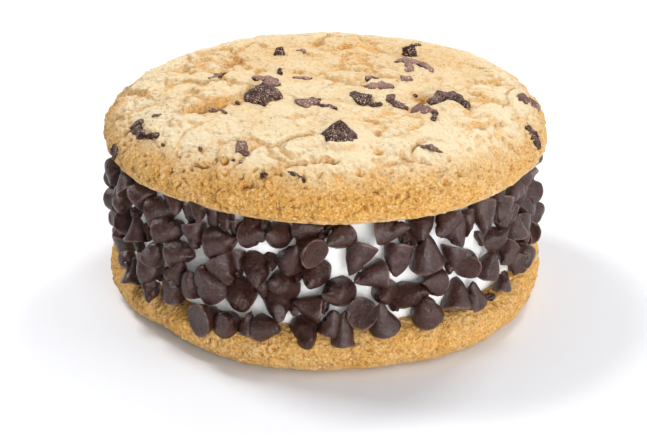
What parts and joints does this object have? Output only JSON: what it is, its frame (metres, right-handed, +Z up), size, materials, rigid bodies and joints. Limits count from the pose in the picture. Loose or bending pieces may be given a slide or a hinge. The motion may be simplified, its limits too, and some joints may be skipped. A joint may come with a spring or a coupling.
{
  "type": "ice cream sandwich",
  "caption": "Round ice cream sandwich: a thick ice cream disc between two chocolate chip cookies, its side rolled in small chocolate chips, standing on its flat underside.",
  "frame": {"origin": "on the table, under the middle of the whole sandwich", "axes": "+Z up, along the sandwich's axis; -Y is the front, +X the right"},
  "size_m": [0.0908, 0.091, 0.0474],
  "materials": {
    "cookie": "matt",
    "ice_cream": "satin",
    "small_chips": "satin",
    "baked_chips": "satin"
  },
  "bodies": {
    "root": {"baked_chip_a": "baked_chips", "baked_chip_b": "baked_chips", "baked_chip_c": "baked_chips", "baked_chip_d": "baked_chips", "baked_chip_e": "baked_chips", "baked_chip_f": "baked_chips", "baked_chip_h": "baked_chips", "baked_chip_i": "baked_chips", "baked_chip_j": "baked_chips", "baked_chip_k": "baked_chips", "baked_chip_l": "baked_chips", "baked_chip_m": "baked_chips", "baked_chip_n": "baked_chips", "baked_chip_o": "baked_chips", "baked_chip_p": "baked_chips", "baked_chip_q": "baked_chips", "baked_chip_r": "baked_chips", "baked_chip_s": "baked_chips", "baked_chip_t": "baked_chips", "baked_chip_u": "baked_chips", "baked_chip_v": "baked_chips", "baked_chip_w": "baked_chips", "baked_chip_x": "baked_chips", "baked_chip_y": "baked_chips", "baked_chip_z": "baked_chips", "cookie_bottom": "cookie", "cookie_top": "cookie", "ice_cream": "ice_cream", "small_chips": "small_chips"}
  },
  "joints": []
}
